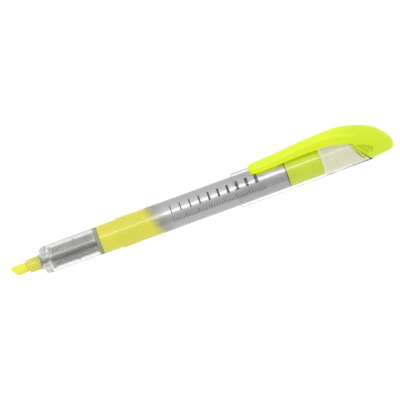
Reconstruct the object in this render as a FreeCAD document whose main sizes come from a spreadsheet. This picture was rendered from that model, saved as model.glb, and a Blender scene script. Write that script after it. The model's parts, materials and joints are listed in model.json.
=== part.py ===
import FreeCAD, Part
import os
import Sketcher

# Liquid-ink highlighter, lying at rest with its cap posted on the rear end.
# +X runs along the pen towards the nib and +Z is up. The origin is on the pen's axis, at the step
# on the barrel that stops the cap's mouth. Each piece is drawn with the clip straight up (+Z) and
# is then rolled about X into the way the pen lies: on the rim of its cap and the edge of its clip.

doc = FreeCAD.newDocument("Highlighter")
sheet = doc.addObject("Spreadsheet::Sheet", "Dims")

DIMENSIONS = [
    ("rest_roll", 105.0, "roll about X from clip up to the way the pen lies, degrees"),
    ("nib_turn", 35.0, "roll of the chisel edge from the clip, degrees"),
    ("slot_turn", -66.0, "roll of the collector's slot from the clip, degrees"),
    ("touch_gap", 0.02, "clearance per side between pieces that are pushed together"),
    ("nib_reach", 6.4, "nib in front of its holder"),
    ("nib_radius", 1.9, "fibre nib"),
    ("nib_bury", 5.6, "nib inside its holder"),
    ("nib_slant", 1.9, "how far the chisel edge falls back from its tip"),
    ("nib_heel", 1.33, "height above the axis where the slanted end starts"),
    ("nib_edge", 0.55, "half the thickness of the chisel edge"),
    ("nib_flat", 4.6, "length of the two chisel flats"),
    ("holder_reach", 6.0, "nib holder in front of the front section"),
    ("holder_radius", 2.7, "nib holder tube"),
    ("holder_bury", 3.0, "nib holder inside the front section"),
    ("holder_slant", 0.75, "fall of the holder's front edge"),
    ("collar_radius", 2.95, "collar where the holder meets the front section"),
    ("collar_width", 0.8, "collar length"),
    ("front_length", 21.7, "front section, face to joint ring"),
    ("front_drop", 0.3, "front section below the cap seat, behind its shoulder"),
    ("front_rear_drop", 0.2, "front section below the cap seat, at the joint ring"),
    ("shoulder_round", 1.8, "rounding of the front shoulder"),
    ("shoulder_land", 0.5, "full-width length behind the shoulder's rounding"),
    ("front_wall", 2.4, "thickness of the front section's end wall"),
    ("spigot_wall", 0.55, "wall of the front section's spigot inside the barrel"),
    ("spigot_length", 5.0, "spigot length inside the barrel"),
    ("ring_width", 1.5, "joint ring"),
    ("ring_drop", 0.2, "joint ring below the cap seat"),
    ("collector_gap", 1.1, "space ahead of the collector"),
    ("collector_sink", 1.35, "collector behind the joint ring's front face"),
    ("fin_clear", 0.5, "air between the collector's fins and the bore round them"),
    ("fin_depth", 1.3, "depth of the capillary gaps"),
    ("fin_pitch", 0.8, "collector fin spacing"),
    ("fin_gap", 0.4, "capillary gap between two fins"),
    ("fin_count", 20, "capillary gaps along the collector"),
    ("middle_fin", 11, "fins ahead of the guide ring at mid length"),
    ("land_width", 1.2, "guide ring at each end of the collector"),
    ("slot_width", 1.1, "ink slot along the collector"),
    ("slot_floor", 1.9, "height of the slot's floor above the axis"),
    ("wick_radius", 1.0, "fibre feed rod"),
    ("wick_dip", 8.0, "feed rod standing out of the collector into the ink"),
    ("seat_length", 7.5, "front end of the barrel that the cap closes on"),
    ("seat_drop", 0.4, "height of the step that stops the cap"),
    ("step_rise", 0.28, "barrel at the step above the barrel behind its taper"),
    ("taper_length", 17.0, "taper behind the step"),
    ("barrel_radius", 5.62, "barrel behind the taper"),
    ("barrel_length", 66.2, "barrel behind the step"),
    ("barrel_wall", 0.75, "wall of the ink chamber"),
    ("film_start", 8.0, "front edge of the metallic film behind the step"),
    ("film_thickness", 0.05, "metallic film"),
    ("air_length", 9.0, "air left behind the ink"),
    ("plug_length", 13.9, "rear plug behind the barrel"),
    ("plug_spigot", 5.0, "rear plug inside the barrel"),
    ("plug_wall", 1.0, "wall of the hollow rear plug"),
    ("plug_groove", 0.3, "groove between barrel and rear plug"),
    ("plug_round", 0.8, "rounding of the plug's rear edge"),
    ("cap_length", 49.53, "cap tube, mouth to slanted end, on the axis"),
    ("mouth_wall", 0.91, "wall of the cap at its mouth"),
    ("tail_wall", 0.76, "wall of the cap at its slanted end"),
    ("cap_fit", 0.12, "clearance per side of the cap on the barrel"),
    ("cap_bore_step", 0.25, "step in the cap's bore behind the inner cap's flange"),
    ("end_slope", 0.577, "fall of the slanted end per unit of height"),
    ("nib_cap_clear", 0.35, "gap from the rear plug to the inner cap"),
    ("seal_flange", 0.5, "flange of the inner cap"),
    ("seal_wall", 0.6, "wall of the inner cap"),
    ("seal_length", 10.15, "inner cap over all"),
    ("seal_end_gap", 1.44, "gap from the inner cap to the crown inside the tube"),
    ("seal_fit", 0.08, "clearance per side of the inner cap's lip on the nib holder"),
    ("crown_length", 12.37, "crown behind the tube's end, on the axis"),
    ("crown_spigot", 0.8, "crown inside the tube"),
    ("crown_root_low", -0.968, "lowest point at the clip's root, as a share of the tube's radius"),
    ("crown_root_half", 0.952, "half-width at the clip's root, as a share of the tube's radius"),
    ("recess_depth", 1.6, "depth of the crown's side recesses below the tube's radius"),
    ("recess_rim", 0.5, "rim between the tube's end and a recess"),
    ("recess_top", 5.0, "height of a recess above the axis, at its rim"),
    ("recess_foot", 1.0, "depth of a recess below the axis, at its rim"),
    ("recess_brow", 3.7, "height of a recess's upper edge, half-way back"),
    ("recess_reach", 4.3, "rearmost point of a recess behind the tube's end, on the axis"),
    ("recess_nose", 1.2, "height of that rearmost point"),
    ("clip_half", 3.0, "half the width of the clip"),
    ("clip_reach", 39.13, "clip from its root to its tip"),
    ("clip_rise", 3.5, "top of the clip's root above the cap's mouth rim"),
    ("clip_root_low", 0.1, "lower edge of the clip's root above the cap's mouth rim"),
    ("clip_root_half", 1.15, "half-width of the clip's root, as a share of the clip's"),
    ("clip_shoulder", 0.62, "height of the clip's side ridge, as a share of its thickness"),
    ("clip_flank", 0.78, "half-width at that ridge, as a share of the half-width below"),
    ("clip_flat", 0.34, "half-width of the clip's flat top, as a share of the half-width below"),
    ("clip_gap", 0.3, "gap between the clip and the cap's mouth rim"),
    ("clip_split", 0.1, "gap drawn at the clip's flex line"),
]

# Sections of the crown, from the joint to its rear end: the share of the crown's length behind the
# tube's end, then its lowest point, highest point and half-width as shares of the tube's radius.
CROWN_SECTIONS = [
    ("crown_joint", 0.115, -0.929, 1.333, 0.937),
    ("crown_middle", 0.432, -0.889, 1.071, 0.802),
    ("crown_shoulder", 0.725, -0.849, 0.53, 0.587),
    ("crown_nose", 0.887, -0.817, 0.11, 0.42),
    ("crown_end", 1.0, -0.66, -0.3, 0.14),
]
for name, back, low, high, half in CROWN_SECTIONS:
    DIMENSIONS += [
        (f"{name}_back", back, "share of the crown's length behind the tube's end"),
        (f"{name}_low", low, "lowest point, as a share of the tube's radius"),
        (f"{name}_high", high, "highest point, as a share of the tube's radius"),
        (f"{name}_half", half, "half-width, as a share of the tube's radius"),
    ]

# Sections of the clip, from its tip to just before its root: the share of its reach behind the
# tip, its lower edge and its top above the cap's mouth rim, and its half-width as a share of the
# clip's.
CLIP_SECTIONS = [
    ("clip_at_tip", 0.0, -0.1, 1.5, 0.5),
    ("clip_near_tip", 0.031, -0.4, 2.1, 0.93),
    ("clip_quarter", 0.312, -0.1, 2.6, 1.0),
    ("clip_half_way", 0.516, 0.2, 3.5, 1.0),
    ("clip_three_quarter", 0.779, 0.4, 4.1, 1.04),
]
for name, back, low, high, half in CLIP_SECTIONS:
    DIMENSIONS += [
        (f"{name}_back", back, "share of the clip's reach behind its tip"),
        (f"{name}_low", low, "lower edge above the cap's mouth rim"),
        (f"{name}_high", high, "top above the cap's mouth rim"),
        (f"{name}_half", half, "half-width, as a share of the clip's half-width"),
    ]

for row, (alias, number, note) in enumerate(DIMENSIONS, start=1):
    sheet.set(f"A{row}", alias)
    sheet.set(f"B{row}", str(number))
    sheet.set(f"C{row}", note)
    sheet.setAlias(f"B{row}", alias)
doc.recompute()

# Radii, each an expression on the sheet: the pen is sized from the barrel outward and inward.
STEP_RADIUS = "(Dims.barrel_radius + Dims.step_rise)"
SEAT_RADIUS = "(Dims.barrel_radius + Dims.step_rise - Dims.seat_drop)"
WRAP_RADIUS = "(Dims.barrel_radius + Dims.film_thickness)"
BARREL_BORE = "(Dims.barrel_radius - Dims.barrel_wall)"
SPIGOT_RADIUS = f"({BARREL_BORE} - Dims.touch_gap)"
FRONT_BORE = f"({SPIGOT_RADIUS} - Dims.spigot_wall)"
FRONT_RADIUS = f"({SEAT_RADIUS} - Dims.front_drop)"
FRONT_REAR_RADIUS = f"({SEAT_RADIUS} - Dims.front_rear_drop)"
RING_RADIUS = f"({SEAT_RADIUS} - Dims.ring_drop)"
FIN_RADIUS = f"({FRONT_BORE} - Dims.fin_clear)"
FIN_ROOT = f"({FIN_RADIUS} - Dims.fin_depth)"
CAP_BORE = f"({WRAP_RADIUS} + Dims.cap_fit)"
SEAL_RADIUS = f"({CAP_BORE} - Dims.cap_bore_step)"
MOUTH_RADIUS = f"({CAP_BORE} + Dims.mouth_wall)"
TAIL_RADIUS = f"({SEAL_RADIUS} + Dims.tail_wall)"

# Cuts are drawn this much past what they cut.
OVERCUT = "1"

# Places along the pen, from the nib to the crown.
RING_REAR = "Dims.seat_length"
RING_FRONT = f"{RING_REAR} + Dims.ring_width"
FRONT_FACE = f"{RING_FRONT} + Dims.front_length"
HOLDER_FRONT = f"{FRONT_FACE} + Dims.holder_reach"
NIB_TIP = f"{HOLDER_FRONT} + Dims.nib_reach"
NIB_REAR = f"{HOLDER_FRONT} - Dims.nib_bury"
COLLECTOR_FRONT = f"{FRONT_FACE} - Dims.front_wall - Dims.collector_gap"
BARREL_REAR = "-Dims.barrel_length"
PLUG_REAR = f"{BARREL_REAR} - Dims.plug_length"
SEAL_FRONT = f"{PLUG_REAR} - Dims.nib_cap_clear"
SEAL_STEP = f"{SEAL_FRONT} - Dims.seal_flange"
SEAL_REAR = f"{SEAL_FRONT} - Dims.seal_length"
SEAL_CLEAR = f"{SEAL_REAR} - Dims.seal_end_gap"
CAP_END = f"{SEAL_CLEAR} - Dims.crown_spigot - Dims.end_slope * {SEAL_RADIUS}"
CAP_MOUTH = f"{CAP_END} + Dims.cap_length"
CLIP_ROOT = f"{CAP_END} + Dims.end_slope * {TAIL_RADIUS}"
CLIP_ROOT_TOP = f"{MOUTH_RADIUS} + Dims.clip_rise"


def value(expression):
    """The present number of an expression on the sheet."""
    return float(sheet.evalExpression(expression))


def new_body(label, turn="Dims.rest_roll"):
    """A body that is drawn clip up and rolled about X by an expression."""
    body = doc.addObject("PartDesign::Body", label)
    body.Placement = FreeCAD.Placement(FreeCAD.Vector(), FreeCAD.Rotation(FreeCAD.Vector(1, 0, 0), 90))
    body.setExpression(".Placement.Rotation.Angle", turn)
    return body


def new_sketch(body, name, role, offset="0"):
    """An empty sketch on one of the body's own origin planes, moved along its normal."""
    sketch = body.newObject("Sketcher::SketchObject", name)
    plane = [feature for feature in body.Origin.OriginFeatures if feature.Role == role][0]
    sketch.AttachmentSupport = [(plane, "")]
    sketch.MapMode = "FlatFace"
    sketch.setExpression(".AttachmentOffset.Base.z", offset)
    return sketch


def bind(sketch, kind, geometry, point, expression):
    """Hold a point at a signed distance from the sketch's origin, by an expression."""
    constraint = Sketcher.Constraint(kind, -1, 1, geometry, point, value(expression))
    index = sketch.addConstraint(constraint)
    sketch.setExpression(f"Constraints[{index}]", expression)


def outline(body, name, role, corners, offset="0"):
    """A closed outline of straight edges, each corner given by two expressions."""
    sketch = new_sketch(body, name, role, offset)
    places = [FreeCAD.Vector(value(across), value(up), 0) for across, up in corners]
    for index, place in enumerate(places):
        sketch.addGeometry(Part.LineSegment(place, places[(index + 1) % len(places)]), False)
    for index, (across, up) in enumerate(corners):
        before = (index - 1) % len(corners)
        sketch.addConstraint(Sketcher.Constraint("Coincident", before, 2, index, 1))
        bind(sketch, "DistanceX", index, 1, across)
        bind(sketch, "DistanceY", index, 1, up)
    return sketch


def turned(body, name, corners):
    """Material turned about the pen's axis from an outline of (x, radius) corners."""
    sketch = outline(body, f"{name}_outline", "XZ_Plane", corners)
    feature = body.newObject("PartDesign::Revolution", name)
    feature.Profile = sketch
    feature.ReferenceAxis = (sketch, ["H_Axis"])
    feature.Angle = 360
    return feature


def groove(body, name, corners):
    """A turned cut. It returns the cut and its sketch, whose axis a pattern can follow."""
    sketch = outline(body, f"{name}_outline", "XZ_Plane", corners)
    feature = body.newObject("PartDesign::Groove", name)
    feature.Profile = sketch
    feature.ReferenceAxis = (sketch, ["H_Axis"])
    feature.Angle = 360
    return feature, sketch


def through_cut(body, name, role, corners):
    """A cut right through the body, both ways from the sketch's plane."""
    sketch = outline(body, f"{name}_outline", role, corners)
    feature = body.newObject("PartDesign::Pocket", name)
    feature.Profile = sketch
    feature.Type = "ThroughAll"
    feature.Midplane = True
    return feature


def round_rings(body, name, size, place, radius):
    """Round the circular edges at one place and radius."""
    doc.recompute()
    names = []
    for index, edge in enumerate(body.Tip.Shape.Edges, start=1):
        curve = edge.Curve
        if not isinstance(curve, Part.Circle):
            continue
        same_place = abs(curve.Center.x - value(place)) < 0.001
        if same_place and abs(curve.Radius - value(radius)) < 0.001:
            names.append(f"Edge{index}")
    rounded = body.Tip
    feature = body.newObject("PartDesign::Fillet", name)
    feature.Base = (rounded, names)
    feature.setExpression("Radius", size)
    return feature


def slant(height, ahead="0"):
    """X of the cap tube's slanted end at a height on the clip's side, as an expression."""
    return f"{CAP_END} + Dims.end_slope * ({height}) + {ahead}"


# Chisel nib: a pressed fibre rod, its end cut slanting and its two sides to a chisel edge.
nib = new_body("chisel_nib", "Dims.rest_roll + Dims.nib_turn")
turned(nib, "nib_rod", [
    (NIB_REAR, "0"),
    (NIB_TIP, "0"),
    (NIB_TIP, "Dims.nib_radius"),
    (NIB_REAR, "Dims.nib_radius"),
])
NIB_SLANT_FOOT = f"{NIB_TIP} - Dims.nib_slant"
through_cut(nib, "slanted_end", "XZ_Plane", [
    (NIB_SLANT_FOOT, "-Dims.nib_radius"),
    (NIB_SLANT_FOOT, "-2 * Dims.nib_radius"),
    (f"{NIB_TIP} + {OVERCUT}", "-2 * Dims.nib_radius"),
    (f"{NIB_TIP} + {OVERCUT}", "Dims.nib_heel"),
    (NIB_TIP, "Dims.nib_heel"),
])
for side, sign in (("left", "1"), ("right", "-1")):
    through_cut(nib, f"chisel_flat_{side}", "XY_Plane", [
        (f"{NIB_TIP} - Dims.nib_flat", f"{sign} * Dims.nib_radius"),
        (f"{NIB_TIP} + {OVERCUT}", f"{sign} * Dims.nib_edge"),
        (f"{NIB_TIP} + {OVERCUT}", f"{sign} * 2 * Dims.nib_radius"),
        (f"{NIB_TIP} - Dims.nib_flat", f"{sign} * 2 * Dims.nib_radius"),
    ])

# Nib holder: a clear tube that grips the nib, with a collar against the front section's face.
holder = new_body("nib_holder", "Dims.rest_roll + Dims.nib_turn")
HOLDER_REAR = f"{FRONT_FACE} - Dims.holder_bury"
HOLDER_BORE = "Dims.nib_radius + Dims.touch_gap"
turned(holder, "tube", [
    (HOLDER_REAR, HOLDER_BORE),
    (HOLDER_FRONT, HOLDER_BORE),
    (HOLDER_FRONT, "Dims.holder_radius"),
    (f"{FRONT_FACE} + Dims.collar_width", "Dims.holder_radius"),
    (f"{FRONT_FACE} + Dims.collar_width", "Dims.collar_radius"),
    (FRONT_FACE, "Dims.collar_radius"),
    (FRONT_FACE, "Dims.holder_radius"),
    (HOLDER_REAR, "Dims.holder_radius"),
])
through_cut(holder, "slanted_mouth", "XZ_Plane", [
    (HOLDER_FRONT, "Dims.holder_radius"),
    (f"{HOLDER_FRONT} - Dims.holder_slant", "-Dims.holder_radius"),
    (f"{HOLDER_FRONT} + {OVERCUT}", f"-Dims.holder_radius - {OVERCUT}"),
    (f"{HOLDER_FRONT} + {OVERCUT}", f"Dims.holder_radius + {OVERCUT}"),
])

# Front section: a clear moulded housing round the collector, with a spigot into the barrel.
front = new_body("front_section")
END_WALL = f"{FRONT_FACE} - Dims.front_wall"
NECK_BORE = "Dims.holder_radius + Dims.touch_gap"
SPIGOT_REAR = f"{RING_REAR} - Dims.spigot_length"
turned(front, "housing", [
    (SPIGOT_REAR, FRONT_BORE),
    (END_WALL, FRONT_BORE),
    (END_WALL, NECK_BORE),
    (FRONT_FACE, NECK_BORE),
    (FRONT_FACE, FRONT_RADIUS),
    (f"{FRONT_FACE} - Dims.shoulder_round - Dims.shoulder_land", FRONT_RADIUS),
    (RING_FRONT, FRONT_REAR_RADIUS),
    (RING_FRONT, SPIGOT_RADIUS),
    (SPIGOT_REAR, SPIGOT_RADIUS),
])
round_rings(front, "shoulder", "Dims.shoulder_round", FRONT_FACE, FRONT_RADIUS)

# Ink collector: a moulded core whose thin fins hold surplus ink, with a guide ring at each end,
# one at mid length, a slot that feeds the gaps, and a bore for the feed rod.
collector = new_body("ink_collector", "Dims.rest_roll + Dims.slot_turn")
COLLECTOR_REAR = f"{RING_FRONT} - Dims.collector_sink"
WICK_BORE = "Dims.wick_radius + Dims.touch_gap"
RING_FIT = f"{FRONT_BORE} - Dims.touch_gap"
MIDDLE_RING = f"{COLLECTOR_FRONT} - Dims.land_width - Dims.fin_pitch * Dims.middle_fin"
turned(collector, "core", [
    (COLLECTOR_REAR, WICK_BORE),
    (COLLECTOR_FRONT, WICK_BORE),
    (COLLECTOR_FRONT, RING_FIT),
    (f"{COLLECTOR_FRONT} - 0.5 * Dims.land_width", RING_FIT),
    (f"{COLLECTOR_FRONT} - 0.5 * Dims.land_width", FIN_RADIUS),
    (f"{MIDDLE_RING} + 0.5 * Dims.fin_gap", FIN_RADIUS),
    (f"{MIDDLE_RING} + 0.5 * Dims.fin_gap", RING_FIT),
    (f"{MIDDLE_RING} - 0.5 * Dims.fin_gap", RING_FIT),
    (f"{MIDDLE_RING} - 0.5 * Dims.fin_gap", FIN_RADIUS),
    (f"{COLLECTOR_REAR} + Dims.land_width", FIN_RADIUS),
    (f"{COLLECTOR_REAR} + Dims.land_width", RING_FIT),
    (COLLECTOR_REAR, RING_FIT),
])
FIRST_GAP = f"{COLLECTOR_FRONT} - Dims.land_width - 1.5 * Dims.fin_gap"
fin_gap, fin_gap_sketch = groove(collector, "fin_gap", [
    (FIRST_GAP, FIN_ROOT),
    (f"{FIRST_GAP} + Dims.fin_gap", FIN_ROOT),
    (f"{FIRST_GAP} + Dims.fin_gap", f"{FIN_RADIUS} + 0.5 * Dims.fin_clear"),
    (FIRST_GAP, f"{FIN_RADIUS} + 0.5 * Dims.fin_clear"),
])
fins = collector.newObject("PartDesign::LinearPattern", "fins")
fins.Originals = [fin_gap]
fins.Direction = (fin_gap_sketch, ["H_Axis"])
fins.Reversed = True
fins.setExpression("Length", "Dims.fin_pitch * (Dims.fin_count - 1)")
fins.setExpression("Occurrences", "Dims.fin_count")
collector.Tip = fins
slot_outline = outline(collector, "slot_outline", "XY_Plane", [
    (f"{COLLECTOR_REAR} + Dims.land_width", "-0.5 * Dims.slot_width"),
    (f"{COLLECTOR_FRONT} + {OVERCUT}", "-0.5 * Dims.slot_width"),
    (f"{COLLECTOR_FRONT} + {OVERCUT}", "0.5 * Dims.slot_width"),
    (f"{COLLECTOR_REAR} + Dims.land_width", "0.5 * Dims.slot_width"),
], "Dims.slot_floor")
slot = collector.newObject("PartDesign::Pocket", "slot")
slot.Profile = slot_outline
slot.Type = "ThroughAll"
slot.Reversed = True

# Feed rod: a fibre wick from the ink, through the collector, to the back of the nib.
wick = new_body("feed_rod")
turned(wick, "rod", [
    (f"{COLLECTOR_REAR} - Dims.wick_dip", "0"),
    (NIB_REAR, "0"),
    (NIB_REAR, "Dims.wick_radius"),
    (f"{COLLECTOR_REAR} - Dims.wick_dip", "Dims.wick_radius"),
])

# Joint ring: a soft seal squeezed between the front section and the barrel, round the spigot.
ring = new_body("joint_ring")
turned(ring, "seal", [
    (RING_REAR, f"{SPIGOT_RADIUS} + Dims.touch_gap"),
    (RING_FRONT, f"{SPIGOT_RADIUS} + Dims.touch_gap"),
    (RING_FRONT, RING_RADIUS),
    (RING_REAR, RING_RADIUS),
])

# Barrel: a clear extruded and turned-down tube that holds the free ink.
barrel = new_body("barrel")
turned(barrel, "tube", [
    (BARREL_REAR, BARREL_BORE),
    (RING_REAR, BARREL_BORE),
    (RING_REAR, SEAT_RADIUS),
    ("0", SEAT_RADIUS),
    ("0", STEP_RADIUS),
    ("-Dims.taper_length", "Dims.barrel_radius"),
    (BARREL_REAR, "Dims.barrel_radius"),
])

# Barrel film: the metallised printed film that wraps the barrel from its taper to its rear end.
film = new_body("barrel_film")
FILM_TAPER = f"({STEP_RADIUS} - Dims.barrel_radius) * (1 - Dims.film_start / Dims.taper_length)"
FILM_FRONT_RADIUS = f"Dims.barrel_radius + {FILM_TAPER}"
turned(film, "wrap", [
    (BARREL_REAR, "Dims.barrel_radius"),
    ("-Dims.taper_length", "Dims.barrel_radius"),
    ("-Dims.film_start", FILM_FRONT_RADIUS),
    ("-Dims.film_start", f"{FILM_FRONT_RADIUS} + Dims.film_thickness"),
    ("-Dims.taper_length", WRAP_RADIUS),
    (BARREL_REAR, WRAP_RADIUS),
])

# Ink: the free liquid from the collector's rear face, through the spigot, down the barrel.
ink = new_body("ink_charge")
INK_SPIGOT = f"{FRONT_BORE} - Dims.touch_gap"
INK_BARREL = f"{BARREL_BORE} - Dims.touch_gap"
INK_REAR = f"{BARREL_REAR} + Dims.plug_spigot + Dims.air_length"
WICK_REAR = f"{COLLECTOR_REAR} - Dims.wick_dip - Dims.touch_gap"
turned(ink, "liquid", [
    (INK_REAR, "0"),
    (WICK_REAR, "0"),
    (WICK_REAR, WICK_BORE),
    (f"{COLLECTOR_REAR} - Dims.touch_gap", WICK_BORE),
    (f"{COLLECTOR_REAR} - Dims.touch_gap", INK_SPIGOT),
    (f"{SPIGOT_REAR} - Dims.touch_gap", INK_SPIGOT),
    (f"{SPIGOT_REAR} - Dims.touch_gap", INK_BARREL),
    (INK_REAR, INK_BARREL),
])

# Rear plug: a hollow coloured moulding that closes the barrel; a fine groove shows at the joint.
plug = new_body("rear_plug")
PLUG_FRONT = f"{BARREL_REAR} + Dims.plug_spigot"
PLUG_FIT = f"{BARREL_BORE} - Dims.touch_gap"
PLUG_HOLLOW = f"{PLUG_FIT} - Dims.plug_wall"
turned(plug, "cup", [
    (PLUG_FRONT, PLUG_HOLLOW),
    (PLUG_FRONT, PLUG_FIT),
    (BARREL_REAR, PLUG_FIT),
    (BARREL_REAR, f"{WRAP_RADIUS} - Dims.plug_groove"),
    (f"{BARREL_REAR} - Dims.plug_groove", f"{WRAP_RADIUS} - Dims.plug_groove"),
    (f"{BARREL_REAR} - Dims.plug_groove", WRAP_RADIUS),
    (PLUG_REAR, WRAP_RADIUS),
    (PLUG_REAR, "0"),
    (f"{PLUG_REAR} + Dims.plug_wall", "0"),
    (f"{PLUG_REAR} + Dims.plug_wall", PLUG_HOLLOW),
])
round_rings(plug, "rear_edge", "Dims.plug_round", PLUG_REAR, WRAP_RADIUS)

# Cap tube: a clear tapered tube, open at its mouth and cut slanting where the crown closes it.
cap_tube = new_body("cap_tube")
LONG_SIDE = slant(f"-1.2 * {TAIL_RADIUS}")
CAP_TAPER = f"({MOUTH_RADIUS} - {TAIL_RADIUS}) / Dims.cap_length"
LONG_RADIUS = f"{TAIL_RADIUS} - {CAP_TAPER} * 1.2 * Dims.end_slope * {TAIL_RADIUS}"
turned(cap_tube, "tube", [
    (CAP_MOUTH, CAP_BORE),
    (CAP_MOUTH, MOUTH_RADIUS),
    (LONG_SIDE, LONG_RADIUS),
    (LONG_SIDE, SEAL_RADIUS),
    (SEAL_STEP, SEAL_RADIUS),
    (SEAL_STEP, CAP_BORE),
])
through_cut(cap_tube, "slanted_end", "XZ_Plane", [
    (slant(f"-1.5 * {TAIL_RADIUS}"), f"-1.5 * {TAIL_RADIUS}"),
    (slant(f"1.5 * {TAIL_RADIUS}"), f"1.5 * {TAIL_RADIUS}"),
    (slant(f"-3 * {TAIL_RADIUS}"), f"1.5 * {TAIL_RADIUS}"),
    (slant(f"-3 * {TAIL_RADIUS}"), f"-1.5 * {TAIL_RADIUS}"),
])

# Inner cap: a translucent thimble, pushed up to the step in the cap's bore, whose lip closes on
# the nib holder and keeps the nib from drying out.
inner_cap = new_body("inner_cap")
SEAL_LIP = "Dims.holder_radius + Dims.seal_fit"
turned(inner_cap, "thimble", [
    (SEAL_FRONT, SEAL_LIP),
    (SEAL_FRONT, f"{CAP_BORE} - Dims.touch_gap"),
    (SEAL_STEP, f"{CAP_BORE} - Dims.touch_gap"),
    (SEAL_STEP, f"{SEAL_RADIUS} - Dims.touch_gap"),
    (SEAL_REAR, f"{SEAL_RADIUS} - Dims.touch_gap"),
    (SEAL_REAR, "0"),
    (f"{SEAL_REAR} + Dims.seal_wall", "0"),
    (f"{SEAL_REAR} + Dims.seal_wall", f"{SEAL_RADIUS} - Dims.touch_gap - Dims.seal_wall"),
    (SEAL_STEP, f"{SEAL_RADIUS} - Dims.touch_gap - Dims.seal_wall"),
    (SEAL_STEP, SEAL_LIP),
])


def oval(body, name, place, low, high, half):
    """A closed oval across the pen, from its lowest to its highest point, as wide as 2 halves."""
    sketch = new_sketch(body, name, "YZ_Plane", place)
    middle = f"0.5 * (({low}) + ({high}))"
    centre = FreeCAD.Vector(0, value(middle), 0)
    tall = 0.5 * (value(high) - value(low))
    top = centre + FreeCAD.Vector(0, tall, 0)
    side = centre + FreeCAD.Vector(value(half), 0, 0)
    sketch.addGeometry(Part.Ellipse(top, side, centre), False)
    sketch.exposeInternalGeometry(0)
    long_axis = 1
    short_axis = 2
    sketch.addConstraint(Sketcher.Constraint("Vertical", long_axis))
    bind(sketch, "DistanceX", 0, 3, "0")
    bind(sketch, "DistanceY", 0, 3, middle)
    for axis, length in ((long_axis, f"({high}) - ({low})"), (short_axis, f"2 * ({half})")):
        index = sketch.addConstraint(Sketcher.Constraint("Distance", axis, value(length)))
        sketch.setExpression(f"Constraints[{index}]", length)
    return sketch


def lofted(body, name, sections):
    """One smooth skin through the given sketches, closed at both ends."""
    feature = body.newObject("PartDesign::AdditiveLoft", name)
    feature.Profile = sections[0]
    feature.Sections = sections[1:]
    feature.Ruled = False
    return feature


# Crown: the solid coloured end of the cap. It plugs the slanted end of the tube, carries the
# clip, rounds off behind like a fin, and has a recess in each side under the clip's edge.
crown = new_body("cap_crown")
CROWN_ROOT = f"{CLIP_ROOT} - Dims.clip_split"
crown_sections = [
    oval(crown, "crown_root", CROWN_ROOT, f"Dims.crown_root_low * {TAIL_RADIUS}", CLIP_ROOT_TOP,
         f"Dims.crown_root_half * {TAIL_RADIUS}"),
]
for name, *shares in CROWN_SECTIONS:
    crown_sections.append(
        oval(crown, name, f"{CAP_END} - Dims.{name}_back * Dims.crown_length",
             f"Dims.{name}_low * {TAIL_RADIUS}", f"Dims.{name}_high * {TAIL_RADIUS}",
             f"Dims.{name}_half * {TAIL_RADIUS}"))
lofted(crown, "bulb", crown_sections)
through_cut(crown, "slanted_joint", "XZ_Plane", [
    (slant(f"-1.2 * {TAIL_RADIUS}"), f"-1.2 * {TAIL_RADIUS}"),
    (slant(TAIL_RADIUS), TAIL_RADIUS),
    (slant(f"3 * {TAIL_RADIUS}"), TAIL_RADIUS),
    (slant(f"3 * {TAIL_RADIUS}"), f"-1.2 * {TAIL_RADIUS}"),
])
turned(crown, "spigot", [
    (slant(f"-{SEAL_RADIUS}"), "0"),
    (slant(SEAL_RADIUS, "Dims.crown_spigot"), "0"),
    (slant(SEAL_RADIUS, "Dims.crown_spigot"), f"{SEAL_RADIUS} - Dims.touch_gap"),
    (slant(f"-{SEAL_RADIUS}"), f"{SEAL_RADIUS} - Dims.touch_gap"),
])
through_cut(crown, "spigot_face", "XZ_Plane", [
    (slant(f"-{TAIL_RADIUS}", "Dims.crown_spigot"), f"-{TAIL_RADIUS}"),
    (slant(TAIL_RADIUS, "Dims.crown_spigot"), TAIL_RADIUS),
    (slant(f"3 * {TAIL_RADIUS}"), TAIL_RADIUS),
    (slant(f"3 * {TAIL_RADIUS}"), f"-{TAIL_RADIUS}"),
])
for side, sign, away in (("left", "1", False), ("right", "-1", True)):
    recess_outline = outline(crown, f"recess_{side}_outline", "XZ_Plane", [
        (slant("Dims.recess_top", "-Dims.recess_rim"), "Dims.recess_top"),
        (f"{CAP_END} - 0.3 * Dims.recess_reach", "Dims.recess_brow"),
        (f"{CAP_END} - Dims.recess_reach", "Dims.recess_nose"),
        (f"{CAP_END} - 0.7 * Dims.recess_reach", "-0.6 * Dims.recess_foot"),
        (slant("-Dims.recess_foot", "-Dims.recess_rim"), "-Dims.recess_foot"),
    ], f"{sign} * ({TAIL_RADIUS} - Dims.recess_depth)")
    recess = crown.newObject("PartDesign::Pocket", f"recess_{side}")
    recess.Profile = recess_outline
    recess.Type = "ThroughAll"
    recess.Reversed = not away

# Clip: a springy arm of the crown's own moulding, over the cap to a rounded tip near its mouth.
# Its section has a flat top, sloping sides and a hollow underside that follows the cap.
clip = new_body("clip_arm")


def arm_section(name, place, low, high, half):
    """A six-cornered section of the arm at one place along the pen."""
    shoulder = f"({low}) + Dims.clip_shoulder * (({high}) - ({low}))"
    return outline(clip, name, "YZ_Plane", [
        (f"-({half})", low),
        (half, low),
        (f"Dims.clip_flank * ({half})", shoulder),
        (f"Dims.clip_flat * ({half})", high),
        (f"-Dims.clip_flat * ({half})", high),
        (f"-Dims.clip_flank * ({half})", shoulder),
    ], place)


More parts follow.
